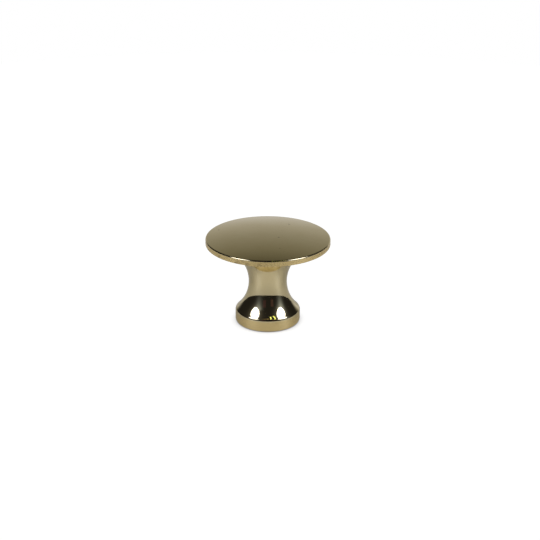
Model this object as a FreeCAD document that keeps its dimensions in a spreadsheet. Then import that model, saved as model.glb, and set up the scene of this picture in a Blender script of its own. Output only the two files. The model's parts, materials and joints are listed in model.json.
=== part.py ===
"""Cabinet knob, turned from one piece of brass.

A thin domed head on a waisted stem, with a banded foot that seats on the drawer front and a blind
tapped hole for the fixing screw in its base. All lengths are millimetres. The knob stands on its
foot: the origin is the centre of the base face and +Z runs up the axis to the head.
"""
import FreeCAD, Part
import math
import os

import Sketcher

# Driving dimensions: alias, value, what it is
SIZES = [
    ("overall_height", 22.65, "base face to the crown of the head"),
    ("head_diameter", 30.0, "across the rim of the head"),
    ("dome_rise", 1.2, "crown above the rim's top corner"),
    ("rim_height", 1.45, "side of the rim, corner to corner"),
    ("rim_top_radius", 0.35, "rounded top edge of the rim"),
    ("rim_under_chamfer", 0.2, "broken lower edge of the rim"),
    ("underside_land", 1.2, "flat ring under the rim, outside the cove"),
    ("waist_diameter", 9.3, "thinnest part of the stem"),
    ("waist_height", 10.25, "base face to the waist"),
    ("foot_diameter", 15.8, "across the band of the foot"),
    ("foot_band_top", 2.7, "base face to the top of the upright band"),
    ("shoulder_radius", 0.9, "rounding from the band into the cove"),
    ("base_edge_radius", 0.6, "rounded lower edge of the foot"),
    ("tap_drill_diameter", 3.3, "bore before the M4 thread is cut"),
    ("tap_drill_depth", 12.0, "base face to the end of the bore's wall"),
    ("drill_point_angle", 118.0, "included angle of the bore's end"),
    ("mouth_diameter", 4.4, "countersunk mouth of the bore"),
    ("mouth_angle", 90.0, "included angle of the mouth"),
]

START, END, CENTRE = 1, 2, 3
ORIGIN = (-1, START)
AXIS_OF_TURNING = -2


def make_sizes(doc):
    """Put the driving dimensions in a sheet, one aliased cell each."""
    sheet = doc.addObject("Spreadsheet::Sheet", "Sizes")
    for row, (alias, value, meaning) in enumerate(SIZES, start=1):
        sheet.set("A%d" % row, alias)
        sheet.set("B%d" % row, str(value))
        sheet.set("C%d" % row, meaning)
        sheet.setAlias("B%d" % row, alias)
    doc.recompute()
    return sheet


def origin_plane(body, role):
    """Return the body's own origin plane that has this role."""
    return next(item for item in body.Origin.OriginFeatures if item.Role == role)


def new_sketch(body, role, name):
    """Add a sketch that lies flat on one of the body's origin planes."""
    sketch = body.newObject("Sketcher::SketchObject", name)
    sketch.AttachmentSupport = [(origin_plane(body, role), "")]
    sketch.MapMode = "FlatFace"
    return sketch


def line(start, end):
    return Part.LineSegment(FreeCAD.Vector(*start), FreeCAD.Vector(*end))


def arc(centre, radius, first, last):
    """Arc run anticlockwise between two angles in degrees."""
    circle = Part.Circle(FreeCAD.Vector(*centre), FreeCAD.Vector(0, 0, 1), radius)
    return Part.ArcOfCircle(circle, math.radians(first), math.radians(last))


def dimension(sketch, name, kind, places, expression):
    """Add a named dimension and bind it to the sheet."""
    value = sketch.evalExpression(expression)
    index = sketch.addConstraint(Sketcher.Constraint(kind, *places, float(value)))
    sketch.renameConstraint(index, name)
    sketch.setExpression("Constraints." + name, expression)


def half_section(body, sheet):
    """Draw the half section that is turned: radius across, height up."""
    sketch = new_sketch(body, "XZ_Plane", "half_section")

    # The outline is drawn where the sizes put it, and the rules and dimensions then hold it there
    head = sheet.head_diameter / 2
    foot = sheet.foot_diameter / 2
    waist = sheet.waist_diameter / 2
    waist_up = sheet.waist_height
    band_top = sheet.foot_band_top
    base_edge = sheet.base_edge_radius
    shoulder = sheet.shoulder_radius
    rim_top = sheet.rim_top_radius
    rim_under = sheet.rim_under_chamfer
    top_corner = sheet.overall_height - sheet.dome_rise
    rim_top_start = top_corner - rim_top
    under = top_corner - sheet.rim_height
    land_inner = head - rim_under - sheet.underside_land

    # The crown is a flat dome through the top corner of the rim
    crown = (head ** 2 + sheet.dome_rise ** 2) / (2 * sheet.dome_rise)
    edge_slope = math.degrees(math.asin(head / crown))

    # The lower cove is upright at the waist and runs into the shoulder's arc
    rise = waist_up - band_top
    reach = foot - waist - shoulder
    lower_cove = (reach ** 2 + rise ** 2 - shoulder ** 2) / (2 * (foot - waist))
    lower_turn = math.degrees(math.atan2(rise, lower_cove - reach))

    # The upper cove is upright at the waist and dies out at the land under the rim
    drop = under - waist_up
    spread = land_inner - waist
    upper_cove = (spread ** 2 + drop ** 2) / (2 * spread)
    upper_turn = math.degrees(math.atan2(drop, upper_cove - spread))
    outline = [
        ("base", line((0, 0, 0), (foot - base_edge, 0, 0))),
        ("base_edge", arc((foot - base_edge, base_edge, 0), base_edge, -90, 0)),
        ("band", line((foot, base_edge, 0), (foot, band_top, 0))),
        ("shoulder", arc((foot - shoulder, band_top, 0), shoulder, 0, lower_turn)),
        ("lower_cove", arc((waist + lower_cove, waist_up, 0), lower_cove, 180, 180 + lower_turn)),
        ("upper_cove", arc((waist + upper_cove, waist_up, 0), upper_cove, 180 - upper_turn, 180)),
        ("land", line((land_inner, under, 0), (head - rim_under, under, 0))),
        ("rim_under", line((head - rim_under, under, 0), (head, under + rim_under, 0))),
        ("rim_side", line((head, under + rim_under, 0), (head, rim_top_start, 0))),
        ("rim_top", arc((head - rim_top, rim_top_start, 0), rim_top, 0, 90 - edge_slope)),
        ("crown", arc((0, sheet.overall_height - crown, 0), crown, 90 - edge_slope, 90)),
        ("axis", line((0, sheet.overall_height, 0), (0, 0, 0))),
    ]
    at = {name: index for index, (name, curve) in enumerate(outline)}
    for name, curve in outline:
        sketch.addGeometry(curve, False)

    # The rim's height is given to the sharp corner that its rounded top edge takes off
    corner = sketch.addGeometry(Part.Point(FreeCAD.Vector(head, top_corner, 0)), True)

    def rule(kind, *places):
        sketch.addConstraint(Sketcher.Constraint(kind, *places))

    rule("Coincident", at["base"], START, *ORIGIN)
    rule("Horizontal", at["base"])
    rule("Tangent", at["base"], END, at["base_edge"], START)
    rule("Tangent", at["base_edge"], END, at["band"], START)
    rule("Vertical", at["band"])
    rule("Tangent", at["band"], END, at["shoulder"], START)
    rule("Tangent", at["shoulder"], END, at["lower_cove"], END)
    rule("Horizontal", at["lower_cove"], CENTRE, at["lower_cove"], START)
    rule("Tangent", at["lower_cove"], START, at["upper_cove"], END)
    rule("Coincident", at["upper_cove"], START, at["land"], START)
    rule("Horizontal", at["land"])
    rule("Coincident", at["land"], END, at["rim_under"], START)
    rule("Coincident", at["rim_under"], END, at["rim_side"], START)
    rule("Vertical", at["rim_side"])
    rule("Tangent", at["rim_side"], END, at["rim_top"], START)
    rule("Tangent", at["rim_top"], END, at["crown"], START)
    rule("PointOnObject", at["crown"], CENTRE, AXIS_OF_TURNING)
    rule("Coincident", at["crown"], END, at["axis"], START)
    rule("Coincident", at["axis"], END, *ORIGIN)
    rule("Vertical", at["axis"])
    rule("PointOnObject", corner, START, at["crown"])
    rule("PointOnObject", corner, START, at["rim_side"])

    def span(name):
        return (at[name], START, at[name], END)

    def size(name, kind, places, expression):
        dimension(sketch, name, kind, places, expression)

    size("overall_height", "DistanceY", (*ORIGIN, at["crown"], END), "Sizes.overall_height")
    size("dome_rise", "DistanceY", (corner, START, at["crown"], END), "Sizes.dome_rise")
    size("rim_height", "DistanceY", (at["land"], END, corner, START), "Sizes.rim_height")
    size("head_radius", "DistanceX", (*ORIGIN, at["rim_side"], START), "Sizes.head_diameter / 2")
    size("rim_top_radius", "Radius", (at["rim_top"],), "Sizes.rim_top_radius")
    size("rim_under_across", "DistanceX", span("rim_under"), "Sizes.rim_under_chamfer")
    size("rim_under_up", "DistanceY", span("rim_under"), "Sizes.rim_under_chamfer")
    size("underside_land", "DistanceX", span("land"), "Sizes.underside_land")
    size("waist_radius", "DistanceX", (*ORIGIN, at["lower_cove"], START), "Sizes.waist_diameter / 2")
    size("waist_height", "DistanceY", (*ORIGIN, at["lower_cove"], START), "Sizes.waist_height")
    size("foot_radius", "DistanceX", (*ORIGIN, at["band"], END), "Sizes.foot_diameter / 2")
    size("foot_band_top", "DistanceY", (*ORIGIN, at["band"], END), "Sizes.foot_band_top")
    size("shoulder_radius", "Radius", (at["shoulder"],), "Sizes.shoulder_radius")
    size("base_edge_radius", "Radius", (at["base_edge"],), "Sizes.base_edge_radius")
    return sketch


def tapped_hole(body, doc):
    """Drill the blind hole for the fixing screw up from the centre of the base."""
    centre = new_sketch(body, "XY_Plane", "bore_centre")
    centre.addGeometry(Part.Circle(FreeCAD.Vector(0, 0, 0), FreeCAD.Vector(0, 0, 1), 1), False)
    centre.addConstraint(Sketcher.Constraint("Coincident", 0, CENTRE, *ORIGIN))
    dimension(centre, "bore_radius", "Radius", (0,), "Sizes.tap_drill_diameter / 2")
    doc.recompute()

    hole = body.newObject("PartDesign::Hole", "tapped_bore")
    hole.Profile = centre
    hole.Reversed = True
    hole.DepthType = "Dimension"
    hole.DrillPoint = "Angled"
    hole.HoleCutType = "Countersink"
    hole.setExpression("Diameter", "Sizes.tap_drill_diameter")
    hole.setExpression("Depth", "Sizes.tap_drill_depth")
    hole.setExpression("DrillPointAngle", "Sizes.drill_point_angle")
    hole.setExpression("HoleCutDiameter", "Sizes.mouth_diameter")
    hole.setExpression("HoleCutCountersinkAngle", "Sizes.mouth_angle")
    doc.recompute()
    return hole


def make_knob(doc, sheet):
    """Turn the knob's outline, then drill its base."""
    body = doc.addObject("PartDesign::Body", "knob")
    body.Label = "knob"
    section = half_section(body, sheet)
    doc.recompute()

    turned = body.newObject("PartDesign::Revolution", "turned_outline")
    turned.Profile = section
    turned.ReferenceAxis = (section, ["V_Axis"])
    turned.Angle = 360
    doc.recompute()
    blank = turned.Shape.Volume

    tapped_hole(body, doc)
    if body.Shape.Volume >= blank:
        raise RuntimeError("the bore takes nothing out of the knob")
    body.Placement = FreeCAD.Placement()
    return body


def check(doc, bodies):
    """Stop if anything in the document failed or a solid is bad."""
    for item in doc.Objects:
        if "Invalid" in item.State or "Error" in item.State:
            raise RuntimeError("%s failed: %s" % (item.Label, item.State))
    for body in bodies:
        shape = body.Shape
        if shape.isNull() or not shape.isValid() or len(shape.Solids) != 1:
            raise RuntimeError("%s isn't one sound solid" % body.Label)


def main():
    doc = FreeCAD.newDocument("cabinet_knob")
    sheet = make_sizes(doc)
    bodies = [make_knob(doc, sheet)]
    doc.recompute()
    check(doc, bodies)
    os.makedirs("parts", exist_ok=True)
    for body in bodies:
        body.Shape.exportStep("parts/%s.step" % body.Label)
        box = body.Shape.optimalBoundingBox()
        print("%s: %.1f mm3, %.2f x %.2f x %.2f mm, base at %.3f" % (
            body.Label, body.Shape.Volume, box.XLength, box.YLength, box.ZLength, box.ZMin))


main()
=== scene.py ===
"""A turned brass cabinet knob, set in the frame of its solid.

The file is laid out as a Blender add-on and run as a script. A geometry node
tree turns the knob from its half-section and cuts the screw thread in its
bore. Shader node groups give the brass its turning marks, hairlines, specks
and tarnish, and the stage is a pale table between two soft boxes.
"""

import json
import math

import bpy
from mathutils import Matrix, Vector


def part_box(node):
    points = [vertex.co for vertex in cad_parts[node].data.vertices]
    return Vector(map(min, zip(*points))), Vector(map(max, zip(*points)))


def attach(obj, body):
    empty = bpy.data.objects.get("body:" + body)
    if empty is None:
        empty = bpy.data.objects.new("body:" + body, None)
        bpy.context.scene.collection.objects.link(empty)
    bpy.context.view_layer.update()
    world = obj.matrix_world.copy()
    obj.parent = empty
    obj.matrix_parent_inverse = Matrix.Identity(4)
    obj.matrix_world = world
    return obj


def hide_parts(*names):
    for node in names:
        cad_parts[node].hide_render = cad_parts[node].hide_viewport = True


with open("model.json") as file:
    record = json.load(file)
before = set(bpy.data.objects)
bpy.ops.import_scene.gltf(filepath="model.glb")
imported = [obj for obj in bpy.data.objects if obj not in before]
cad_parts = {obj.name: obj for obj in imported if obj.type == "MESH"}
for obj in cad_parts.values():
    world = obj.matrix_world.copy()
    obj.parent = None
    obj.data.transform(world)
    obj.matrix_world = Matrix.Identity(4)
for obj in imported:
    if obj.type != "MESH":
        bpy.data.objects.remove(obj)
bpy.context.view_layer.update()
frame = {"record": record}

bl_info = {
    "name": "Turned cabinet knob",
    "version": (1, 0, 0),
    "blender": (4, 5, 0),
    "location": "View3D > Sidebar > Cabinet Knob",
    "description": "Turns a brass cabinet knob with its tapped bore and lights it on a table",
    "category": "Add Mesh",
}

MM = 0.001
KNOB_LOW, KNOB_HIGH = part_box("knob")
SCREW_HOLE = next(m for m in frame["record"]["mounts"] if m["name"] == "screw_hole")

# Which finish a stretch of the half-section carries.
POLISHED, FACED, CUT = 0, 1, 2
# How far a stretch has the duller finish and deeper colour of an upright side. On the foot band
# that deeper colour is partly painted reflection of warm light bounced between brass and table.
BRIGHT, LOWER_ROUNDING, LAND, FOOT_BAND, RIM_SIDE = 0.0, 0.3, 0.5, 0.7, 0.85

# Specks and stains at known places: x, y, z and radius in millimetres, and depth.
PITS = (
    (-11.96, 4.03, 21.80, 0.26, 1.0),
    (5.12, 6.91, 22.26, 0.30, 1.0),
    (2.55, -2.77, 22.57, 0.26, 0.9),
    (2.79, -8.99, 22.18, 0.22, 0.5),
    (5.47, -13.16, 21.57, 0.22, 0.5),
    (-7.54, -12.97, 20.30, 0.30, 0.7),
    (-6.19, -13.66, 20.27, 0.24, 0.5),
    (-11.37, -9.79, 20.47, 0.30, 0.5),
)
STAINS = (
    (-4.5, -14.2, 20.6, 7.0, 0.1),
    (-6.9, -13.3, 20.35, 0.9, 0.7),
    (-4.8, -14.2, 20.3, 0.8, 0.6),
    (-5.8, -13.8, 20.9, 0.7, 0.5),
    (-2.0, -14.9, 20.3, 0.9, 0.45),
)

# The soft boxes: side, bearing (azimuth and elevation) and half widths, in degrees.
SOFT_BOXES = (
    ("left", (-62.2, 44.4), (14.0, 15.1)),
    ("right", (65.2, 43.8), (13.8, 15.3)),
)
# The backdrop's colour at some elevations in degrees.
BACKDROP = (
    (5.0, (0.47, 0.48, 0.52)),
    (14.0, (0.325, 0.325, 0.32)),
    (23.0, (0.225, 0.225, 0.21)),
    (33.0, (0.134, 0.130, 0.103)),
    (38.5, (0.075, 0.071, 0.046)),
    (42.0, (0.030, 0.027, 0.012)),
    (60.0, (0.0, 0.0, 0.0)),
)
ROOM = (0.0155, 0.015, 0.016)
PALE_STRIP = (1.8, 2.1, 0.65)
UNDER_TABLE = (0.42, 0.42, 0.42)


# ---------------------------------------------------------------- settings


def length_setting(name, description, default):
    """A property that holds a length in metres."""
    return bpy.props.FloatProperty(
        name=name,
        description=description,
        default=default,
        subtype="DISTANCE",
        unit="LENGTH",
        precision=5,
    )


def angle_setting(name, description, degrees):
    """A property that holds an angle, given here in degrees."""
    return bpy.props.FloatProperty(
        name=name,
        description=description,
        default=math.radians(degrees),
        subtype="ANGLE",
        unit="ROTATION",
    )


def colour_setting(name, description, default):
    """A property that holds a colour."""
    return bpy.props.FloatVectorProperty(
        name=name,
        description=description,
        default=default,
        size=3,
        min=0.0,
        max=1.0,
        subtype="COLOR",
    )


def share_setting(name, description, default):
    """A property that holds a number between 0 and 1."""
    return bpy.props.FloatProperty(
        name=name, description=description, default=default, min=0.0, max=1.0, subtype="FACTOR"
    )


def number_setting(name, description, default, low=0.0):
    """A property that holds a plain number."""
    return bpy.props.FloatProperty(name=name, description=description, default=default, min=low)


class KnobSizes(bpy.types.PropertyGroup):
    """The sizes of the turned form and of its tapped bore."""

    head_diameter: length_setting(
        "Head diameter", "Width of the round head", KNOB_HIGH.x - KNOB_LOW.x
    )
    overall_height: length_setting(
        "Overall height",
        "From the base face to the middle of the crown",
        KNOB_HIGH.z - KNOB_LOW.z,
    )
    dome_rise: length_setting(
        "Dome rise", "How far the crown stands above its own edge circle", 1.2 * MM
    )
    rim_height: length_setting("Rim height", "Height of the head's side", 1.45 * MM)
    rim_top_radius: length_setting(
        "Rim top radius", "Rounding between the crown and the head's side", 0.35 * MM
    )
    rim_under_radius: length_setting(
        "Rim under radius", "Broken edge between the head's side and its underside", 0.2 * MM
    )
    underside_land: length_setting(
        "Underside land", "Width of the flat ring under the head", 1.2 * MM
    )
    waist_diameter: length_setting("Waist diameter", "Thinnest place of the stem", 9.3 * MM)
    waist_height: length_setting(
        "Waist height", "Height of the thinnest place above the base face", 10.25 * MM
    )
    foot_diameter: length_setting(
        "Foot diameter", "Width of the upright band round the foot", 15.8 * MM
    )
    foot_band_top: length_setting(
        "Foot band top", "Height at which the foot's band turns in", 2.7 * MM
    )
    shoulder_radius: length_setting(
        "Shoulder radius", "Rounding at the top of the foot's band", 0.9 * MM
    )
    base_edge_radius: length_setting(
        "Base edge radius", "Rounding between the foot's band and the base face", 0.6 * MM
    )
    bore_radius: length_setting(
        "Bore radius", "Inner radius of the tapped bore", SCREW_HOLE["dims"]["r_mm"] * MM
    )
    bore_depth: length_setting(
        "Bore depth", "From the base face to the end of the bore's wall", 12.0 * MM
    )
    mouth_radius: length_setting(
        "Mouth radius", "Radius of the countersunk mouth at the base face", 2.2 * MM
    )
    thread_radius: length_setting(
        "Thread radius", "Radius at the roots of the cut thread", 2.0 * MM
    )
    thread_pitch: length_setting("Thread pitch", "Advance of the thread in one turn", 0.7 * MM)
    thread_length: length_setting(
        "Thread length", "Depth at which the thread starts to run out", 9.6 * MM
    )
    drill_point_angle: angle_setting(
        "Drill point angle", "Full angle of the cone at the bore's end", 118.0
    )
    columns: bpy.props.IntProperty(
        name="Columns", description="Divisions round the knob", default=192, min=24
    )


class BrassFinish(bpy.types.PropertyGroup):
    """The colours and the polish of the brass."""

    brass: colour_setting("Brass", "Colour of the clean polished brass", (0.88, 0.74, 0.43))
    tarnish: colour_setting(
        "Tarnish", "Colour of the faint darker bloom on the polish", (0.74, 0.58, 0.28)
    )
    # On the foot band this deeper colour also stands in for warm light bounced between brass and
    # table: painted reflection.
    side_brass: colour_setting(
        "Side brass", "Deeper colour of the less polished upright sides", (0.96, 0.72, 0.31)
    )
    stain: colour_setting(
        "Stain", "Colour of the brown stains on the upright sides", (0.42, 0.29, 0.12)
    )
    speck: colour_setting("Speck", "Colour of the small pits and specks", (0.16, 0.11, 0.07))
    polish_roughness: share_setting(
        "Polish roughness", "Roughness of the polished faces between their marks", 0.055
    )
    side_roughness: share_setting("Side roughness", "Roughness of the upright sides", 0.27)
    faced_roughness: share_setting(
        "Faced roughness", "Roughness of the base face as it leaves the lathe", 0.24
    )
    cut_roughness: share_setting("Cut roughness", "Roughness of the bore and its thread", 0.32)


class StageSettings(bpy.types.PropertyGroup):
    """The table, the lights and the camera."""

    table_tone: colour_setting(
        "Table tone", "Pale grey that the table shows in the metal", (0.44, 0.44, 0.44)
    )
    white_share: share_setting(
        "White share", "How much of the white ground the metal's own reflections see", 0.05
    )
    table_opening: length_setting(
        "Table opening",
        "Radius of the table's opening, hidden under the knob's base",
        7.34 * MM,
    )
    table_radius: length_setting("Table radius", "Radius of the round table", 0.3)
    box_distance: length_setting("Soft box distance", "From the knob to each soft box", 0.8)
    box_watts: number_setting(
        "Soft box power", "Power of the light that each soft box gives the table", 5.4
    )
    front_watts: number_setting(
        "Soft box front power", "Power of each soft box's front as the metal shows it", 1.9
    )
    front_tint: colour_setting(
        "Soft box front tint",
        "Cool tint of the soft box's front, which reads white in the brass",
        (0.68, 0.74, 1.0),
    )
    camera_distance: length_setting(
        "Camera distance", "From the camera to the middle of the stem", 0.2857
    )
    camera_elevation: angle_setting(
        "Camera elevation", "Height of the camera above the stem, as an angle", 23.41
    )
    lens: number_setting("Lens", "Focal length in millimetres", 78.22, low=1.0)


# ------------------------------------------------------------ node helpers


def add(tree, kind, inputs=None, **settings):
    """A new node, with its settings made and its inputs linked or set."""
    made = tree.nodes.new(kind)
    for name, value in settings.items():
        setattr(made, name, value)
    for key, value in (inputs or {}).items():
        feed(tree, made.inputs[key], value)
    return made


def feed(tree, socket, value):
    """Links a socket to another node's output, or gives it a plain value."""
    if isinstance(value, bpy.types.NodeSocket):
        tree.links.new(value, socket)
    elif isinstance(value, tuple) and socket.type == "RGBA" and len(value) == 3:
        socket.default_value = (*value, 1.0)
    else:
        socket.default_value = value


def maths(tree, operation, *values, clamp=False):
    """The result of one Math node."""
    made = tree.nodes.new("ShaderNodeMath")
    made.operation = operation
    made.use_clamp = clamp
    for socket, value in zip(made.inputs, values):
        feed(tree, socket, value)
    return made.outputs[0]


def whole(tree, operation, *values):
    """The result of one Integer Math node."""
    made = tree.nodes.new("FunctionNodeIntegerMath")
    made.operation = operation
    for socket, value in zip(made.inputs, values):
        feed(tree, socket, value)
    return made.outputs[0]


def vector_maths(tree, operation, *values, output="Vector"):
    """The result of one Vector Math node."""
    made = tree.nodes.new("ShaderNodeVectorMath")
    made.operation = operation
    sockets = [s for s in made.inputs if s.type == "VECTOR"]
    for socket, value in zip(sockets, values):
        feed(tree, socket, value)
    return made.outputs[output]


def scaled(tree, vector, factor):
    """A vector times one number."""
    made = add(tree, "ShaderNodeVectorMath", {"Scale": factor}, operation="SCALE")
    feed(tree, made.inputs[0], vector)
    return made.outputs["Vector"]


def ranged(tree, value, low, high, to_low=0.0, to_high=1.0, smooth=True):
    """A value taken from one range to another, held at both ends."""
    return add(
        tree,
        "ShaderNodeMapRange",
        {"Value": value, "From Min": low, "From Max": high, "To Min": to_low, "To Max": to_high},
        interpolation_type="SMOOTHSTEP" if smooth else "LINEAR",
        clamp=True,
    ).outputs["Result"]


def mixed(tree, factor, first, second):
    """Two colours mixed by a factor."""
    made = tree.nodes.new("ShaderNodeMix")
    made.data_type = "RGBA"
    colours = [s for s in made.inputs if s.type == "RGBA"]
    feed(tree, made.inputs["Factor"], factor)
    feed(tree, colours[0], first)
    feed(tree, colours[1], second)
    return next(s for s in made.outputs if s.type == "RGBA")


def weighted(tree, *terms):
    """The sum of some values, each times its weight."""
    total = None
    for value, weight in terms:
        part = maths(tree, "MULTIPLY", value, weight)
        total = part if total is None else maths(tree, "ADD", total, part)
    return total


def object_place(tree):
    """The shaded point in the object's own coordinates."""
    return tree.nodes.new("ShaderNodeTexCoord").outputs["Object"]


def noise_at(tree, vector, detail, roughness):
    """Smooth noise with features about one unit wide."""
    return add(
        tree,
        "ShaderNodeTexNoise",
        {"Vector": vector, "Scale": 1.0, "Detail": detail, "Roughness": roughness},
    ).outputs["Fac"]


def mirrored_ray(tree, path):
    """1 for a ray that comes by way of a mirror or a glass."""
    return maths(tree, "ADD", path["Is Glossy Ray"], path["Is Transmission Ray"], clamp=True)


def new_group(name, kind, inputs, outputs):
    """An empty node group with named sockets, and its two end nodes."""
    tree = bpy.data.node_groups.new(name, kind)
    for socket_name, socket_type, value in inputs:
        made = tree.interface.new_socket(socket_name, in_out="INPUT", socket_type=socket_type)
        if value is not None:
            made.default_value = value
    for socket_name, socket_type in outputs:
        tree.interface.new_socket(socket_name, in_out="OUTPUT", socket_type=socket_type)
    start = tree.nodes.new("NodeGroupInput").outputs
    end = tree.nodes.new("NodeGroupOutput").inputs
    return tree, start, end


def lay_out(tree, column=220, row=170):
    """Sets the nodes in columns by how far each stands from the last one."""
    depth = {node: 0 for node in tree.nodes}
    for _ in range(len(tree.nodes)):
        moved = False
        for link in tree.links:
            wanted = depth[link.to_node] + 1
            if depth[link.from_node] < wanted:
                depth[link.from_node] = wanted
                moved = True
        if not moved:
            break
    filled = {}
    for node, steps in depth.items():
        place = filled.get(steps, 0)
        node.location = (-column * steps, -row * place)
        filled[steps] = place + 1


# ------------------------------------------------------------- half-section


def arc_points(centre, radius, start, end, step):
    """Points along an arc from one angle to another, with near neighbours at both ends."""
    count = max(4, math.ceil(abs(end - start) / step))
    fractions = [i / count for i in range(count + 1)]
    fractions[1:1] = [0.12 / count]
    fractions[-1:-1] = [1.0 - 0.12 / count]
    angles = [start + (end - start) * f for f in fractions]
    return [
        (centre[0] + radius * math.cos(a), centre[1] + radius * math.sin(a)) for a in angles
    ]


def line_points(start, end, count, support=0.04 * MM):
    """Points along a line, with near neighbours at both ends."""
    length = math.dist(start, end)
    fractions = [i / count for i in range(count + 1)]
    near = min(support / length, 0.3 / count)
    fractions[1:1] = [near]
    fractions[-1:-1] = [1.0 - near]
    return [
        (start[0] + (end[0] - start[0]) * f, start[1] + (end[1] - start[1]) * f)
        for f in fractions
    ]


def half_section(sizes):
    """The outside of the knob from the crown's middle to the bore's mouth.

    Gives stretches of (radius, height) points, each with its finish and with
    how far it has the duller finish and deeper colour of an upright side; on
    the foot band that deeper colour is partly painted reflection.
    """
    head = sizes.head_diameter / 2
    top = sizes.overall_height
    crown_radius = (head**2 + sizes.dome_rise**2) / (2 * sizes.dome_rise)
    crown_centre = (0.0, top - crown_radius)
    corner = top - sizes.dome_rise
    rim_bottom = corner - sizes.rim_height

    round_over = sizes.rim_top_radius
    rim_centre_r = head - round_over
    slope = math.asin(rim_centre_r / (crown_radius - round_over))
    rim_centre = (
        rim_centre_r,
        crown_centre[1] + math.sqrt((crown_radius - round_over) ** 2 - rim_centre_r**2),
    )
    under = sizes.rim_under_radius

    foot = sizes.foot_diameter / 2
    waist = sizes.waist_diameter / 2
    shoulder = sizes.shoulder_radius
    shoulder_centre = (foot - shoulder, sizes.foot_band_top)
    rise = sizes.waist_height - sizes.foot_band_top
    reach = foot - shoulder - waist
    lower = (reach**2 + rise**2 - shoulder**2) / (2 * (foot - waist))
    lower_turn = math.asin(rise / (lower + shoulder))
    spread = head - under - sizes.underside_land - waist
    drop = rim_bottom - sizes.waist_height
    upper = (spread**2 + drop**2) / (2 * spread)
    upper_turn = math.asin(drop / upper)
    if upper < drop:
        upper_turn = math.pi - upper_turn
    base = sizes.base_edge_radius

    round_step, waist_step = math.radians(3.4), math.radians(2.7)
    support = 0.2 * MM
    right = math.pi / 2
    duller_from = right * 0.6
    half_turn = math.pi
    crown = arc_points(crown_centre, crown_radius, right, right - slope, slope / 30)
    rounding = arc_points(rim_centre, round_over, right - slope, duller_from, round_step)
    lower_rounding = arc_points(rim_centre, round_over, duller_from, 0.0, round_step)
    rim_side = line_points((head, rim_centre[1]), (head, rim_bottom + under), 3, support)
    under_edge = arc_points(
        (head - under, rim_bottom + under), under, 0.0, -right, 2 * round_step
    )
    land = line_points(
        (head - under, rim_bottom), (head - under - sizes.underside_land, rim_bottom), 3
    )
    upper_waist = arc_points(
        (waist + upper, sizes.waist_height), upper, half_turn - upper_turn, half_turn, waist_step
    )
    lower_waist = arc_points(
        (waist + lower, sizes.waist_height), lower, half_turn, half_turn + lower_turn, waist_step
    )
    shoulder_arc = arc_points(shoulder_centre, shoulder, lower_turn, 0.0, round_step)
    foot_band = line_points((foot, sizes.foot_band_top), (foot, base), 3, support)
    base_edge = arc_points((foot - base, base), base, 0.0, -right, round_step)
    base_face = line_points((foot - base, 0.0), (sizes.mouth_radius, 0.0), 6)
    return [
        (crown, POLISHED, BRIGHT),
        (rounding, POLISHED, BRIGHT),
        (lower_rounding, POLISHED, LOWER_ROUNDING),
        (rim_side, POLISHED, RIM_SIDE),
        (under_edge, POLISHED, RIM_SIDE),
        (land, POLISHED, LAND),
        (upper_waist, POLISHED, BRIGHT),
        (lower_waist, POLISHED, BRIGHT),
        (shoulder_arc, POLISHED, BRIGHT),
        # The foot band and its base edge take the side colour, partly as painted reflection of
        # warm light bounced between brass and table.
        (foot_band, POLISHED, FOOT_BAND),
        (base_edge, POLISHED, FOOT_BAND),
        (base_face, FACED, BRIGHT),
    ]


def thread_stations(sizes):
    """(radius, turns along the bore) at the thread's corners and between them."""
    depth = sizes.thread_radius - sizes.bore_radius
    # The flanks lean 30 degrees, and the flat at the root is an eighth of the pitch.
    flank = depth * math.tan(math.radians(30.0)) / sizes.thread_pitch
    root = 1 / 8
    crest = 1.0 - root - 2 * flank
    inner, outer = sizes.bore_radius, sizes.thread_radius
    between = (inner + outer) / 2
    turn = [
        (inner, 0.0),
        (inner, crest / 2),
        (inner, crest),
        (between, crest + flank / 2),
        (outer, crest + flank),
        (outer, crest + flank + root / 2),
        (outer, crest + flank + root),
        (between, crest + flank * 1.5 + root),
    ]
    turns = math.ceil(sizes.bore_depth / sizes.thread_pitch) + 1
    return [(radius, t + step) for t in range(-1, turns) for radius, step in turn]


def section_mesh(sizes):
    """The half-section as a chain of points with what the lathe tree reads from them.

    "along" is the length of the outline so far, "finish" the finish of the
    stretch that starts at a point, "side" how far it has an upright side's
    duller finish and deeper colour, which on the foot band is partly painted
    reflection, and "cut" is 1 on the thread's points.
    """
    same_place = 1e-9
    rows = []
    for points, finish, side in half_section(sizes):
        for place in points:
            if rows and math.dist(rows[-1][0], place) < same_place:
                rows[-1] = (place, finish, min(side, rows[-1][2]), 0.0)
            else:
                rows.append((place, finish, side, 0.0))
    rows[-1] = (rows[-1][0], CUT, 0.0, 0.0)
    for radius, turn in thread_stations(sizes):
        rows.append(((radius, turn * sizes.thread_pitch), CUT, 0.0, 1.0))
    point_height = sizes.bore_radius / math.tan(sizes.drill_point_angle / 2)
    for share in (0.0, 0.5, 1.0):
        place = (sizes.bore_radius * (1.0 - share), sizes.bore_depth + point_height * share)
        rows.append((place, CUT, 0.0, 0.0))
    rows[0] = ((0.0, rows[0][0][1]), *rows[0][1:])
    rows[-1] = ((0.0, rows[-1][0][1]), *rows[-1][1:])

    mesh = bpy.data.meshes.new("half_section")
    chain = [(i, i + 1) for i in range(len(rows) - 1)]
    mesh.from_pydata([(place[0], 0.0, place[1]) for place, *_ in rows], chain, [])
    lengths = [0.0]
    for before, after in zip(rows, rows[1:]):
        lengths.append(lengths[-1] + math.dist(before[0], after[0]))
    for name, kind, values in (
        ("along", "FLOAT", lengths),
        ("finish", "INT", [row[1] for row in rows]),
        ("side", "FLOAT", [row[2] for row in rows]),
        ("cut", "FLOAT", [row[3] for row in rows]),
    ):
        mesh.attributes.new(name, kind, "POINT").data.foreach_set("value", values)
    return mesh


# --------------------------------------------------------------- the lathe


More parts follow.
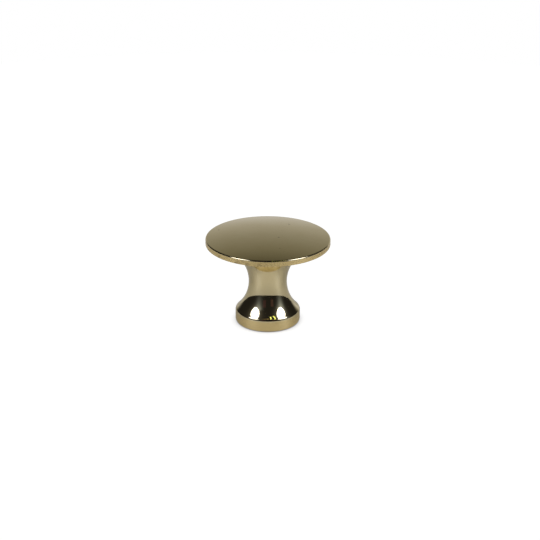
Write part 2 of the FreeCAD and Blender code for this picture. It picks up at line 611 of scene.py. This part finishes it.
def lathe_tree():
    """A node tree that turns a half-section round the upright axis.

    Every column of a grid is the half-section at its own angle. The thread's
    rows climb one pitch in a turn, and are held between the base face and the
    bore's end, so the seam closes on the next turn's rows.
    """
    number, count, material = "NodeSocketFloat", "NodeSocketInt", "NodeSocketMaterial"
    tree, given, end = new_group(
        "Turned knob",
        "GeometryNodeTree",
        [
            ("Half-section", "NodeSocketGeometry", None),
            ("Columns", count, 192),
            ("Thread pitch", number, 0.7 * MM),
            ("Thread length", number, 9.6 * MM),
            ("Bore radius", number, 1.65 * MM),
            ("Bore depth", number, 12.0 * MM),
            ("Mouth radius", number, 2.2 * MM),
            ("Crease angle", number, math.radians(30.0)),
            ("Weld distance", number, 0.0002 * MM),
            ("Polished finish", material, None),
            ("Faced finish", material, None),
            ("Cut finish", material, None),
        ],
        [("Knob", "NodeSocketGeometry")],
    )
    tree.is_modifier = True
    section = given["Half-section"]
    rows = add(
        tree, "GeometryNodeAttributeDomainSize", {"Geometry": section}, component="MESH"
    ).outputs["Point Count"]
    grid = add(
        tree,
        "GeometryNodeMeshGrid",
        {"Vertices X": whole(tree, "ADD", given["Columns"], 1), "Vertices Y": rows},
    ).outputs["Mesh"]
    index = tree.nodes.new("GeometryNodeInputIndex").outputs["Index"]
    row = whole(tree, "MODULO", index, rows)
    column = whole(tree, "DIVIDE_FLOOR", index, rows)

    def read(value, kind, at):
        made = add(tree, "GeometryNodeSampleIndex", data_type=kind, domain="POINT")
        feed(tree, made.inputs["Geometry"], section)
        feed(tree, made.inputs["Value"], value)
        feed(tree, made.inputs["Index"], at)
        return made.outputs["Value"]

    def named(name, kind, at):
        made = add(tree, "GeometryNodeInputNamedAttribute", {"Name": name}, data_type=kind)
        return read(made.outputs["Attribute"], kind, at)

    place = add(
        tree,
        "ShaderNodeSeparateXYZ",
        {0: read(tree.nodes.new("GeometryNodeInputPosition").outputs[0], "FLOAT_VECTOR", row)},
    ).outputs
    cut = named("cut", "FLOAT", row)
    share = maths(tree, "DIVIDE", column, given["Columns"])
    angle = maths(tree, "MULTIPLY", share, math.tau)

    # The thread climbs, held between the base face and the end of the bore.
    climb = maths(tree, "MULTIPLY", share, given["Thread pitch"])
    climbed = add(
        tree,
        "ShaderNodeClamp",
        {
            "Value": maths(tree, "ADD", place["Z"], climb),
            "Min": 0.0,
            "Max": given["Bore depth"],
        },
    ).outputs["Result"]
    # It runs out past its length, and the mouth's cone cuts its first turn.
    past = maths(
        tree, "MAXIMUM", maths(tree, "SUBTRACT", climbed, given["Thread length"]), 0.0
    )
    shallow = maths(tree, "SUBTRACT", place["X"], maths(tree, "MULTIPLY", past, 0.5))
    walled = maths(tree, "MAXIMUM", shallow, given["Bore radius"])
    cone = maths(tree, "SUBTRACT", given["Mouth radius"], climbed)
    threaded = maths(tree, "MAXIMUM", walled, cone)

    def either(plain, on_thread):
        made = add(tree, "GeometryNodeSwitch", input_type="FLOAT")
        feed(tree, made.inputs["Switch"], maths(tree, "GREATER_THAN", cut, 0.5))
        feed(tree, made.inputs["False"], plain)
        feed(tree, made.inputs["True"], on_thread)
        return made.outputs["Output"]

    radius = either(place["X"], threaded)
    height = either(place["Z"], climbed)
    turned = add(
        tree,
        "ShaderNodeCombineXYZ",
        {
            "X": maths(tree, "MULTIPLY", radius, maths(tree, "COSINE", angle)),
            "Y": maths(tree, "MULTIPLY", radius, maths(tree, "SINE", angle)),
            "Z": height,
        },
    ).outputs[0]
    form = add(
        tree, "GeometryNodeSetPosition", {"Geometry": grid, "Position": turned}
    ).outputs["Geometry"]
    for name in ("along", "side"):
        form = add(
            tree,
            "GeometryNodeStoreNamedAttribute",
            {"Geometry": form, "Name": name, "Value": named(name, "FLOAT", row)},
            data_type="FLOAT",
            domain="POINT",
        ).outputs["Geometry"]
    face_row = whole(tree, "MODULO", index, whole(tree, "SUBTRACT", rows, 1))
    form = add(
        tree,
        "GeometryNodeStoreNamedAttribute",
        {"Geometry": form, "Name": "finish", "Value": named("finish", "INT", face_row)},
        data_type="INT",
        domain="FACE",
    ).outputs["Geometry"]
    form = add(
        tree,
        "GeometryNodeMergeByDistance",
        {"Geometry": form, "Distance": given["Weld distance"]},
    ).outputs["Geometry"]
    form = add(tree, "GeometryNodeFlipFaces", {"Mesh": form}).outputs["Mesh"]

    sharp = maths(
        tree,
        "GREATER_THAN",
        tree.nodes.new("GeometryNodeInputMeshEdgeAngle").outputs["Unsigned Angle"],
        given["Crease angle"],
    )
    form = add(
        tree, "GeometryNodeSetShadeSmooth", {"Geometry": form, "Shade Smooth": True}, domain="FACE"
    ).outputs["Geometry"]
    form = add(
        tree,
        "GeometryNodeSetShadeSmooth",
        {"Geometry": form, "Selection": sharp, "Shade Smooth": False},
        domain="EDGE",
    ).outputs["Geometry"]
    form = add(tree, "GeometryNodeRealizeInstances", {"Geometry": form}).outputs["Geometry"]
    own = add(tree, "GeometryNodeInputNamedAttribute", {"Name": "finish"}, data_type="INT")
    form = add(
        tree, "GeometryNodeSetMaterial", {"Geometry": form, "Material": given["Polished finish"]}
    ).outputs["Geometry"]
    for value, name in ((FACED, "Faced finish"), (CUT, "Cut finish")):
        chosen = add(tree, "FunctionNodeCompare", data_type="INT", operation="EQUAL")
        whole_numbers = [s for s in chosen.inputs if s.type == "INT"]
        feed(tree, whole_numbers[0], own.outputs["Attribute"])
        feed(tree, whole_numbers[1], value)
        form = add(
            tree,
            "GeometryNodeSetMaterial",
            {"Geometry": form, "Selection": chosen.outputs[0], "Material": given[name]},
        ).outputs["Geometry"]
    tree.links.new(form, end["Knob"])
    lay_out(tree)
    return tree


def set_inputs(modifier, values):
    """Sets a node modifier's inputs, found by the identifiers of its named sockets."""
    for item in modifier.node_group.interface.items_tree:
        if item.item_type == "SOCKET" and item.in_out == "INPUT" and item.name in values:
            modifier[item.identifier] = values[item.name]


def settled(source, name):
    """A plain mesh object from what a source object's modifiers make."""
    bpy.context.view_layer.update()
    evaluated = source.evaluated_get(bpy.context.evaluated_depsgraph_get())
    mesh = bpy.data.meshes.new_from_object(evaluated)
    mesh.name = name
    if mesh.materials and mesh.materials[0] is None:
        # The grid brings an empty slot that no face uses.
        slots = [face.material_index - 1 for face in mesh.polygons]
        mesh.materials.pop(index=0)
        mesh.polygons.foreach_set("material_index", slots)
    bpy.data.objects.remove(source)
    piece = bpy.data.objects.new(name, mesh)
    bpy.context.scene.collection.objects.link(piece)
    return piece


# --------------------------------------------------------- brass and its wear


def turning_marks_group():
    """Fine rings left by the tool, which waver a little round the axis."""
    tree, given, end = new_group(
        "Turning marks",
        "ShaderNodeTree",
        [
            ("Rings per millimetre", "NodeSocketFloat", 20.0),
            ("Waver", "NodeSocketFloat", 0.6),
        ],
        [("Rings", "NodeSocketFloat")],
    )
    along = add(tree, "ShaderNodeAttribute", attribute_name="along").outputs["Fac"]
    place = object_place(tree)
    flat = vector_maths(tree, "MULTIPLY", place, (1.0, 1.0, 0.0))
    outward = vector_maths(tree, "NORMALIZE", flat)
    rings = maths(
        tree, "MULTIPLY", maths(tree, "DIVIDE", along, MM), given["Rings per millimetre"]
    )
    around = scaled(tree, outward, given["Waver"])
    lifted = add(tree, "ShaderNodeCombineXYZ", {"Z": rings}).outputs[0]
    rings = noise_at(tree, vector_maths(tree, "ADD", around, lifted), 2.0, 0.6)
    tree.links.new(rings, end["Rings"])
    lay_out(tree)
    return tree


def hairlines_group():
    """Short straight scratches that lie in a few directions."""
    tree, given, end = new_group(
        "Hairlines",
        "ShaderNodeTree",
        [
            ("Length", "NodeSocketFloat", 3.0 * MM),
            ("Width", "NodeSocketFloat", 0.03 * MM),
            ("Share", "NodeSocketFloat", 0.12),
        ],
        [("Hairlines", "NodeSocketFloat")],
    )
    place = object_place(tree)
    marks = None
    for turn, seed in ((0.45, 0.0), (1.55, 3.0), (2.5, 7.0)):
        turned = add(
            tree,
            "ShaderNodeMapping",
            {"Vector": place, "Rotation": (0.3 * turn, 0.8 - 0.5 * turn, turn)},
        ).outputs[0]
        parts = add(tree, "ShaderNodeSeparateXYZ", {0: turned}).outputs
        stretched = add(
            tree,
            "ShaderNodeCombineXYZ",
            {
                "X": maths(tree, "DIVIDE", parts["X"], given["Length"]),
                "Y": maths(tree, "DIVIDE", parts["Y"], given["Width"]),
                "Z": maths(tree, "DIVIDE", parts["Z"], given["Length"]),
            },
        ).outputs[0]
        shifted = vector_maths(tree, "ADD", stretched, (seed, seed, seed))
        noise = noise_at(tree, shifted, 1.0, 0.5)
        line = ranged(tree, noise, maths(tree, "SUBTRACT", 0.8, given["Share"]), 0.85)
        marks = line if marks is None else maths(tree, "MAXIMUM", marks, line)
    tree.links.new(marks, end["Hairlines"])
    lay_out(tree)
    return tree


def speckles_group():
    """Small scattered pits, few and uneven in size."""
    tree, given, end = new_group(
        "Speckles",
        "ShaderNodeTree",
        [
            ("Spacing", "NodeSocketFloat", 1.6 * MM),
            ("Size", "NodeSocketFloat", 0.05),
            ("Share", "NodeSocketFloat", 0.2),
        ],
        [("Speckles", "NodeSocketFloat")],
    )
    place = object_place(tree)
    cells = add(
        tree,
        "ShaderNodeTexVoronoi",
        {
            "Vector": scaled(tree, place, maths(tree, "DIVIDE", 1.0, given["Spacing"])),
            "Scale": 1.0,
            "Randomness": 1.0,
        },
        feature="F1",
    )
    chance = add(tree, "ShaderNodeSeparateColor", {0: cells.outputs["Color"]}).outputs
    reach = maths(tree, "MULTIPLY", given["Size"], maths(tree, "ADD", chance["Green"], 0.4))
    dot = ranged(tree, cells.outputs["Distance"], reach, maths(tree, "MULTIPLY", reach, 0.4))
    kept = maths(tree, "LESS_THAN", chance["Red"], given["Share"])
    tree.links.new(maths(tree, "MULTIPLY", dot, kept), end["Speckles"])
    lay_out(tree)
    return tree


def bloom_group():
    """Broad uneven patches of tarnish and finger grease."""
    tree, given, end = new_group(
        "Bloom",
        "ShaderNodeTree",
        [("Patch size", "NodeSocketFloat", 6.0 * MM), ("Offset", "NodeSocketFloat", 0.0)],
        [("Patches", "NodeSocketFloat")],
    )
    place = object_place(tree)
    moved = add(
        tree,
        "ShaderNodeVectorMath",
        {0: scaled(tree, place, maths(tree, "DIVIDE", 1.0, given["Patch size"]))},
        operation="ADD",
    )
    shift = add(tree, "ShaderNodeCombineXYZ", {"X": given["Offset"], "Y": given["Offset"]})
    tree.links.new(shift.outputs[0], moved.inputs[1])
    noise = noise_at(tree, moved.outputs[0], 4.0, 0.6)
    tree.links.new(ranged(tree, noise, 0.38, 0.68), end["Patches"])
    lay_out(tree)
    return tree


def group_node(tree, group, **values):
    """A placed shader group, with its inputs set by name, and its outputs."""
    made = tree.nodes.new("ShaderNodeGroup")
    made.node_tree = group
    for name, value in values.items():
        made.inputs[name.replace("_", " ")].default_value = value
    return made.outputs


def metal(name):
    """A new material with a metallic shader, its tree and its shader node."""
    material = bpy.data.materials.new(name)
    material.use_nodes = True
    tree = material.node_tree
    shader = tree.nodes["Principled BSDF"]
    shader.inputs["Metallic"].default_value = 1.0
    return material, tree, shader


def bumped(tree, shader, height, distance):
    """Feeds a height, with its distance in metres per unit, into the shader's normal."""
    bump = add(tree, "ShaderNodeBump", {"Height": height, "Strength": 1.0, "Distance": distance})
    tree.links.new(bump.outputs["Normal"], shader.inputs["Normal"])


def chatter_group():
    """Shallow leaning marks that a cutter leaves round an upright side."""
    tree, given, end = new_group(
        "Chatter",
        "ShaderNodeTree",
        [
            ("Marks round", "NodeSocketFloat", 112.0),
            ("Lean per millimetre", "NodeSocketFloat", 6.0),
        ],
        [("Chatter", "NodeSocketFloat")],
    )
    place = object_place(tree)
    parts = add(tree, "ShaderNodeSeparateXYZ", {0: place}).outputs
    turn = maths(
        tree, "MULTIPLY", maths(tree, "ARCTAN2", parts["Y"], parts["X"]), given["Marks round"]
    )
    lean = maths(
        tree, "MULTIPLY", maths(tree, "DIVIDE", parts["Z"], MM), given["Lean per millimetre"]
    )
    wave = maths(tree, "SINE", maths(tree, "ADD", turn, lean))
    tree.links.new(ranged(tree, wave, -1.0, 1.0, smooth=False), end["Chatter"])
    lay_out(tree)
    return tree


def marked_places(tree, places):
    """The depth of the marks at some round places, each fading out at its radius."""
    place = object_place(tree)
    marks = None
    for x, y, z, radius, depth in places:
        away = vector_maths(
            tree, "DISTANCE", place, (x * MM, y * MM, z * MM), output="Value"
        )
        spot = ranged(tree, away, radius * 0.4 * MM, radius * MM, depth, 0.0)
        marks = spot if marks is None else maths(tree, "MAXIMUM", marks, spot)
    return marks


def polished_brass(finish, groups):
    """The outside: a bright polish, with duller and browner upright sides, whose browner colour on
    the foot band is partly painted reflection.
    """
    material, tree, shader = metal("polished_brass")
    rings = group_node(tree, groups["marks"], Rings_per_millimetre=14.0, Waver=0.5)["Rings"]
    streaks = group_node(tree, groups["marks"], Rings_per_millimetre=4.5, Waver=2.5)["Rings"]
    stains = group_node(tree, groups["marks"], Rings_per_millimetre=1.4, Waver=3.0)["Rings"]
    chatter = group_node(tree, groups["chatter"])["Chatter"]
    lines = group_node(tree, groups["lines"])["Hairlines"]
    specks = group_node(tree, groups["specks"])["Speckles"]
    patches = group_node(tree, groups["bloom"])["Patches"]
    grease = group_node(tree, groups["bloom"], Patch_size=3.0 * MM, Offset=11.0)["Patches"]
    side = add(tree, "ShaderNodeAttribute", attribute_name="side").outputs["Fac"]
    brushed = maths(tree, "MULTIPLY", side, ranged(tree, streaks, 0.3, 0.7, smooth=False))
    specks = maths(tree, "MAXIMUM", specks, marked_places(tree, PITS))

    toned = mixed(
        tree, maths(tree, "MULTIPLY", patches, 0.18), tuple(finish.brass), tuple(finish.tarnish)
    )
    browned = maths(
        tree,
        "ADD",
        ranged(tree, stains, 0.5, 0.85, 0.0, 0.25),
        marked_places(tree, STAINS),
        clamp=True,
    )
    # Upright sides take the side brass and its stains; on the foot band this colour is partly
    # painted reflection of warm bounced light.
    worn_and_bounce = mixed(tree, browned, tuple(finish.side_brass), tuple(finish.stain))
    toned = mixed(tree, side, toned, worn_and_bounce)
    colour = mixed(tree, maths(tree, "MULTIPLY", specks, 0.8), toned, tuple(finish.speck))
    tree.links.new(colour, shader.inputs["Base Color"])

    ring_share = 0.05
    rough = weighted(
        tree,
        (rings, ring_share),
        (grease, 0.03),
        (lines, 0.08),
        (specks, 0.3),
        (brushed, 0.06),
        (side, finish.side_roughness - finish.polish_roughness),
    )
    rough = maths(tree, "ADD", rough, finish.polish_roughness - ring_share / 2)
    tree.links.new(rough, shader.inputs["Roughness"])
    # The fine cutter lines round the sides spread what they mirror up and down.
    tree.links.new(maths(tree, "MULTIPLY", side, 0.9), shader.inputs["Anisotropic"])
    shader.inputs["Anisotropic Rotation"].default_value = 0.25
    around = add(tree, "ShaderNodeTangent", direction_type="RADIAL", axis="Z")
    tree.links.new(around.outputs["Tangent"], shader.inputs["Tangent"])

    # Only the rim's side has the leaning cutter marks.
    on_rim = ranged(tree, side, FOOT_BAND + 0.02, RIM_SIDE)
    height = weighted(
        tree,
        (rings, 0.25),
        (lines, -0.5),
        (specks, -6.0),
        (brushed, 1.5),
        (maths(tree, "MULTIPLY", on_rim, chatter), 4.0),
    )
    bumped(tree, shader, height, 0.0008 * MM)
    lay_out(tree)
    return material


def tooled_brass(name, finish, groups, roughness, marks, bloom, tarnished, ring_share, depth):
    """Brass as a tool leaves it, with its rings and no polish."""
    material, tree, shader = metal(name)
    rings = group_node(tree, groups["marks"], **marks)["Rings"]
    patches = group_node(tree, groups["bloom"], **bloom)["Patches"]
    toned = maths(tree, "MULTIPLY", patches, tarnished)
    colour = mixed(tree, toned, tuple(finish.brass), tuple(finish.tarnish))
    tree.links.new(colour, shader.inputs["Base Color"])
    uneven = maths(tree, "MULTIPLY", rings, ring_share)
    rough = maths(tree, "ADD", uneven, roughness - ring_share / 2)
    tree.links.new(rough, shader.inputs["Roughness"])
    bumped(tree, shader, rings, depth)
    lay_out(tree)
    return material


def faced_brass(finish, groups):
    """The base face: plain tool rings, not polished."""
    return tooled_brass(
        "faced_brass",
        finish,
        groups,
        finish.faced_roughness,
        marks={"Rings_per_millimetre": 9.0, "Waver": 0.15},
        bloom={"Patch_size": 4.0 * MM, "Offset": 5.0},
        tarnished=0.35,
        ring_share=0.12,
        depth=0.006 * MM,
    )


def cut_brass(finish, groups):
    """The bore and its thread: dull fresh-cut metal."""
    return tooled_brass(
        "cut_brass",
        finish,
        groups,
        finish.cut_roughness,
        marks={"Rings_per_millimetre": 24.0, "Waver": 1.5},
        bloom={"Patch_size": 1.2 * MM, "Offset": 2.0},
        tarnished=0.5,
        ring_share=0.1,
        depth=0.004 * MM,
    )


# ------------------------------------------------------------------- stage


def table_material(stage):
    """A pale table: white ground to the camera, a soft grey in the metal."""
    material = bpy.data.materials.new("pale_table")
    material.use_nodes = True
    tree = material.node_tree
    shader = tree.nodes["Principled BSDF"]
    path = tree.nodes.new("ShaderNodeLightPath").outputs
    mirrored = mirrored_ray(tree, path)
    seen = maths(
        tree,
        "ADD",
        path["Is Camera Ray"],
        maths(tree, "MULTIPLY", mirrored, stage.white_share),
        clamp=True,
    )
    under_white = (0.10, 0.10, 0.10)
    tone = mixed(tree, seen, tuple(stage.table_tone), under_white)
    tree.links.new(tone, shader.inputs["Base Color"])
    shader.inputs["Roughness"].default_value = 0.38
    shader.inputs["Emission Color"].default_value = (1.0, 1.0, 1.0, 1.0)
    # Close round the foot the ground's glow is cut by ambient occlusion tilted towards the front:
    # a painted contact shadow, deepest in front. Beyond, it is white.
    contact = tree.nodes.new("ShaderNodeAmbientOcclusion")
    contact.samples = 16
    contact.inputs["Distance"].default_value = 4.0 * MM
    tilt, gain, full_glow = 0.3, 1.37, 0.93
    contact.inputs["Normal"].default_value = (0.0, math.sin(tilt), math.cos(tilt))
    open_sky = maths(tree, "MULTIPLY", contact.outputs["AO"], gain, clamp=True)
    glow = maths(tree, "MULTIPLY", seen, maths(tree, "MULTIPLY", open_sky, full_glow))
    tree.links.new(glow, shader.inputs["Emission Strength"])
    # From below it is clear, so that the knob's base shows there.
    under = tree.nodes.new("ShaderNodeNewGeometry").outputs["Backfacing"]
    clear = tree.nodes.new("ShaderNodeBsdfTransparent")
    choice = add(tree, "ShaderNodeMixShader", {"Fac": under})
    tree.links.new(shader.outputs[0], choice.inputs[1])
    tree.links.new(clear.outputs[0], choice.inputs[2])
    tree.links.new(choice.outputs[0], tree.nodes["Material Output"].inputs["Surface"])
    lay_out(tree)
    return material


def make_table(stage):
    """The round table that the knob stands on, open where the base covers it."""
    mesh = bpy.data.meshes.new("table")
    corners = 96
    rings = [
        (radius * math.cos(math.tau * i / corners), radius * math.sin(math.tau * i / corners), 0.0)
        for radius in (stage.table_opening, stage.table_radius)
        for i in range(corners)
    ]
    faces = [
        (i, corners + i, corners + (i + 1) % corners, (i + 1) % corners) for i in range(corners)
    ]
    mesh.from_pydata(rings, [], faces)
    mesh.materials.append(table_material(stage))
    table = bpy.data.objects.new("table", mesh)
    bpy.context.scene.collection.objects.link(table)


def from_bearing(azimuth, elevation, distance):
    """A point seen from the knob, with azimuth 0 towards the camera and 90 to its right."""
    a, e = math.radians(azimuth), math.radians(elevation)
    return Vector(
        (
            distance * math.cos(e) * math.sin(a),
            -distance * math.cos(e) * math.cos(a),
            distance * math.sin(e),
        )
    )


def make_soft_boxes(stage):
    """Two round soft boxes, high in front of the knob, left and right.

    Each is a lamp that lights the table, and a dimmer front that the metal shows.
    """
    in_front = 0.02
    for side, bearing, (across, up) in SOFT_BOXES:
        for part, watts, tint, spread in (
            ("light", stage.box_watts, (1.0, 1.0, 1.0), 2.2),
            ("front", stage.front_watts, tuple(stage.front_tint), 1.0),
        ):
            lamp = bpy.data.lights.new(f"{side}_soft_box_{part}", "AREA")
            lamp.shape = "ELLIPSE"
            away = stage.box_distance - (in_front if part == "front" else 0.0)
            reach = 2 * spread * away
            lamp.size = reach * math.tan(math.radians(across))
            lamp.size_y = reach * math.tan(math.radians(up))
            lamp.energy = watts
            lamp.color = tint
            box = bpy.data.objects.new(lamp.name, lamp)
            box.location = from_bearing(*bearing, away)
            box.rotation_euler = box.location.to_track_quat("Z", "Y").to_euler()
            box.visible_diffuse = part == "light"
            box.visible_glossy = part == "front"
            bpy.context.scene.collection.objects.link(box)


def window(tree, value, low, high, soft):
    """1 between two values and 0 outside them, with soft ends."""
    return maths(
        tree,
        "MULTIPLY",
        ranged(tree, value, low - soft, low + soft),
        ranged(tree, value, high - soft, high + soft, 1.0, 0.0),
    )


def make_world(stage):
    """The room: dim in front, a soft grey backdrop behind, white to the camera."""
    world = bpy.data.worlds.new("studio")
    bpy.context.scene.world = world
    world.use_nodes = True
    tree = world.node_tree
    tree.nodes.clear()
    ray = tree.nodes.new("ShaderNodeTexCoord").outputs["Generated"]
    parts = add(tree, "ShaderNodeSeparateXYZ", {0: ray}).outputs
    elevation = maths(tree, "DEGREES", maths(tree, "ARCSINE", parts["Z"]))
    azimuth = maths(
        tree,
        "DEGREES",
        maths(tree, "ARCTAN2", parts["X"], maths(tree, "MULTIPLY", parts["Y"], -1.0)),
    )

    ramp = tree.nodes.new("ShaderNodeValToRGB")
    tree.links.new(maths(tree, "DIVIDE", elevation, 90.0), ramp.inputs["Fac"])
    stops = ramp.color_ramp.elements
    for angle, colour in BACKDROP:
        stops.new(angle / 90.0).color = (*colour, 1.0)
    stops[0].color = (*BACKDROP[0][1], 1.0)
    stops[-1].color = (*BACKDROP[-1][1], 1.0)
    rear = maths(
        tree,
        "ADD",
        ranged(tree, azimuth, 128.0, 147.0),
        ranged(tree, azimuth, -158.0, -133.0, 1.0, 0.0),
    )
    room = mixed(tree, rear, ROOM, ramp.outputs["Color"])

    # Light that the soft boxes spill on the walls under them, by its azimuth,
    # width, strength at the horizon and the elevation that makes it e times brighter.
    for centre, width, strength, rise in ((66.0, 13.0, 0.075, 17.0), (-46.0, 14.0, 0.036, 17.0)):
        off = maths(tree, "DIVIDE", maths(tree, "SUBTRACT", azimuth, centre), width)
        across = maths(tree, "MULTIPLY", maths(tree, "MULTIPLY", off, off), -1.0)
        climb = maths(tree, "ADD", maths(tree, "DIVIDE", elevation, rise), across)
        fade = ranged(tree, elevation, 34.0, 44.0, strength, 0.0)
        glow = maths(tree, "MULTIPLY", maths(tree, "EXPONENT", climb), fade)
        room = vector_maths(tree, "ADD", room, scaled(tree, (0.85, 1.0, 1.3), glow))
    # Haze round the soft boxes, full inside their edges and fading outside.
    edge, fading, full_haze = 12.0, -6.0, (0.137, 0.137, 0.137)
    for _, bearing, _ in SOFT_BOXES:
        middle = tuple(from_bearing(*bearing, 1.0))
        near = vector_maths(tree, "DOT_PRODUCT", ray, middle, output="Value")
        away = maths(tree, "DEGREES", maths(tree, "ARCCOSINE", near))
        past = maths(tree, "MAXIMUM", maths(tree, "SUBTRACT", away, edge), 0.0)
        haze = maths(tree, "EXPONENT", maths(tree, "DIVIDE", past, fading))
        room = vector_maths(tree, "ADD", room, scaled(tree, full_haze, haze))
    # Dim warm things across the room, and two pale strips near the ceiling: azimuth,
    # half width, lean, lower and upper elevation, softness of the edges and colour.
    for middle, half, lean, low, high, soft, colour in (
        (-17.0, 8.0, 0.0, 12.0, 33.0, 1.5, (0.025, 0.008, 0.012)),
        (22.0, 6.5, 0.0, 10.0, 30.0, 1.5, (0.036, 0.016, 0.016)),
        (18.5, 3.0, 0.8, 60.0, 67.0, 1.0, PALE_STRIP),
        (41.5, 4.0, 2.4, 57.0, 66.0, 1.0, PALE_STRIP),
    ):
        above = maths(tree, "SUBTRACT", elevation, (low + high) / 2)
        across = maths(tree, "SUBTRACT", azimuth, maths(tree, "MULTIPLY", above, lean))
        there = maths(
            tree,
            "MULTIPLY",
            window(tree, across, middle - half, middle + half, soft),
            window(tree, elevation, low, high, soft),
        )
        room = vector_maths(tree, "ADD", room, scaled(tree, colour, there))
    # Under the table, which only the base meets, it is a plain grey.
    below = ranged(tree, elevation, -9.0, -6.0, 1.0, 0.0)
    room = mixed(tree, below, room, UNDER_TABLE)
    # The white ground behind the knob shows in its metal as well, but faintly.
    path = tree.nodes.new("ShaderNodeLightPath").outputs
    mirrored = mirrored_ray(tree, path)
    behind = maths(tree, "MULTIPLY", rear, ranged(tree, elevation, 40.0, 60.0, 1.0, 0.0))
    share = maths(tree, "MULTIPLY", maths(tree, "MULTIPLY", mirrored, behind), stage.white_share)
    room = vector_maths(tree, "ADD", room, scaled(tree, (1.0, 1.0, 1.0), share))

    background = add(tree, "ShaderNodeBackground", {"Color": room, "Strength": 1.0})
    white = add(tree, "ShaderNodeBackground", {"Color": (1.0, 1.0, 1.0), "Strength": 1.0})
    choice = add(tree, "ShaderNodeMixShader", {"Fac": path["Is Camera Ray"]})
    tree.links.new(background.outputs[0], choice.inputs[1])
    tree.links.new(white.outputs[0], choice.inputs[2])
    out = tree.nodes.new("ShaderNodeOutputWorld")
    tree.links.new(choice.outputs[0], out.inputs["Surface"])
    lay_out(tree)


def make_camera(stage):
    """The camera, at the photograph's angle and framing."""
    stem = Vector((0.0, 0.0, 10.0 * MM))
    offset = from_bearing(0.0, math.degrees(stage.camera_elevation), stage.camera_distance)
    data = bpy.data.cameras.new("camera")
    data.sensor_width = 36.0
    data.lens = stage.lens
    data.clip_start, data.clip_end = 0.01, 10.0
    camera = bpy.data.objects.new("camera", data)
    facing = (-offset).to_track_quat("-Z", "Y").to_matrix()
    # The stem's middle stands a little left of and below the picture's centre.
    picture_width, pixels_right, pixels_up = 540, 2.15, 11.37
    pixels_per_radian = picture_width * data.lens / data.sensor_width
    aim = stem + stage.camera_distance / pixels_per_radian * (
        facing.col[0] * pixels_right + facing.col[1] * pixels_up
    )
    camera.location = stem + offset
    turned = (aim - camera.location).to_track_quat("-Z", "Y")
    roll = Matrix.Rotation(math.radians(0.279), 3, "Z")
    camera.rotation_euler = (turned.to_matrix() @ roll).to_euler()
    bpy.context.scene.collection.objects.link(camera)
    bpy.context.scene.camera = camera


# ---------------------------------------------------------------- operators


class MESH_OT_turned_knob(bpy.types.Operator):
    """Turns the knob from its half-section and gives it its brass"""

    bl_idname = "mesh.turned_knob"
    bl_label = "Turned Knob"
    bl_options = {"REGISTER", "UNDO"}

    def execute(self, context):
        sizes = context.scene.knob_sizes
        finish = context.scene.knob_finish
        groups = {
            "marks": turning_marks_group(),
            "lines": hairlines_group(),
            "specks": speckles_group(),
            "bloom": bloom_group(),
            "chatter": chatter_group(),
        }
        source = bpy.data.objects.new("half_section", section_mesh(sizes))
        context.scene.collection.objects.link(source)
        modifier = source.modifiers.new("turned_knob", "NODES")
        modifier.node_group = lathe_tree()
        set_inputs(
            modifier,
            {
                "Columns": sizes.columns,
                "Thread pitch": sizes.thread_pitch,
                "Thread length": sizes.thread_length,
                "Bore radius": sizes.bore_radius,
                "Bore depth": sizes.bore_depth,
                "Mouth radius": sizes.mouth_radius,
                "Polished finish": polished_brass(finish, groups),
                "Faced finish": faced_brass(finish, groups),
                "Cut finish": cut_brass(finish, groups),
            },
        )
        knob = settled(source, "turned_knob")
        if not knob.data.polygons:
            raise RuntimeError("the lathe tree made no faces")
        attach(knob, "root")
        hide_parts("knob")
        return {"FINISHED"}


class SCENE_OT_knob_stage(bpy.types.Operator):
    """Sets up the table, the lights, the room and the camera"""

    bl_idname = "scene.knob_stage"
    bl_label = "Table, Lights and Camera"
    bl_options = {"REGISTER", "UNDO"}

    def execute(self, context):
        stage = context.scene.knob_stage
        context.scene.view_settings.view_transform = "Standard"
        make_table(stage)
        make_soft_boxes(stage)
        make_world(stage)
        make_camera(stage)
        return {"FINISHED"}


class VIEW3D_PT_cabinet_knob(bpy.types.Panel):
    """The knob's sizes, finish and stage, with the operators that build them"""

    bl_label = "Cabinet Knob"
    bl_idname = "VIEW3D_PT_cabinet_knob"
    bl_space_type = "VIEW_3D"
    bl_region_type = "UI"
    bl_category = "Cabinet Knob"

    def draw(self, context):
        scene = context.scene
        for settings, operator in (
            (scene.knob_sizes, MESH_OT_turned_knob.bl_idname),
            (scene.knob_finish, None),
            (scene.knob_stage, SCENE_OT_knob_stage.bl_idname),
        ):
            box = self.layout.box()
            for name in settings.__annotations__:
                box.prop(settings, name)
            if operator:
                box.operator(operator)


CLASSES = (
    KnobSizes,
    BrassFinish,
    StageSettings,
    MESH_OT_turned_knob,
    SCENE_OT_knob_stage,
    VIEW3D_PT_cabinet_knob,
)


def register():
    """Registers the classes and hangs the settings on the scene."""
    for cls in CLASSES:
        bpy.utils.register_class(cls)
    bpy.types.Scene.knob_sizes = bpy.props.PointerProperty(type=KnobSizes)
    bpy.types.Scene.knob_finish = bpy.props.PointerProperty(type=BrassFinish)
    bpy.types.Scene.knob_stage = bpy.props.PointerProperty(type=StageSettings)


def unregister():
    """Takes the settings and the classes away again."""
    del bpy.types.Scene.knob_stage
    del bpy.types.Scene.knob_finish
    del bpy.types.Scene.knob_sizes
    for cls in reversed(CLASSES):
        bpy.utils.unregister_class(cls)


def main():
    """Builds the knob and its stage."""
    register()
    bpy.ops.mesh.turned_knob()
    bpy.ops.scene.knob_stage()


if __name__ == "__main__":
    main()
